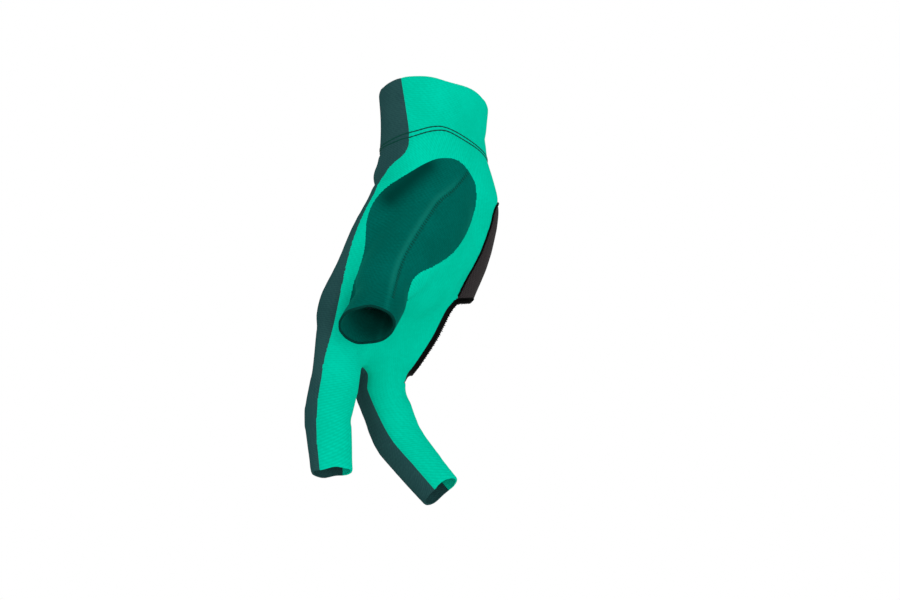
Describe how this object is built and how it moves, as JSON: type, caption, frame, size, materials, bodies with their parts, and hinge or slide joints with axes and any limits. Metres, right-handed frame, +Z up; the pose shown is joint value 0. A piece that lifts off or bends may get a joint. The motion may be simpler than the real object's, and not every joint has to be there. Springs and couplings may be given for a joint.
{
  "type": "billiard glove",
  "caption": "Fingerless three-finger billiard glove in stretch knit, with thumb, index and middle stalls, a thumb panel and a bound open side for the other fingers.",
  "frame": {"origin": "centre of the wrist opening", "axes": "+Z up towards the forearm, with the fingers hanging down; -Y towards the thumb; +X towards the side that the palm and fingers bend to"},
  "size_m": [0.0865, 0.1155, 0.1917],
  "materials": {
    "green_knit": "smooth stretch knit, slight satin sheen",
    "teal_knit": "smooth stretch knit, matt",
    "thumb_satin": "fine stretch knit with a satin face",
    "dark_edge": "folded and stitched edge",
    "black_mesh": "fine open mesh knit",
    "black_binding": "folded elastic binding"
  },
  "bodies": {
    "root": {"cuff_front": "green_knit", "cuff_back": "teal_knit", "front_panel": "green_knit", "back_panel": "teal_knit", "thumb_panel": "thumb_satin", "thumb_binding": "dark_edge", "mesh_panel": "black_mesh", "open_side_binding": "black_binding"}
  },
  "joints": []
}
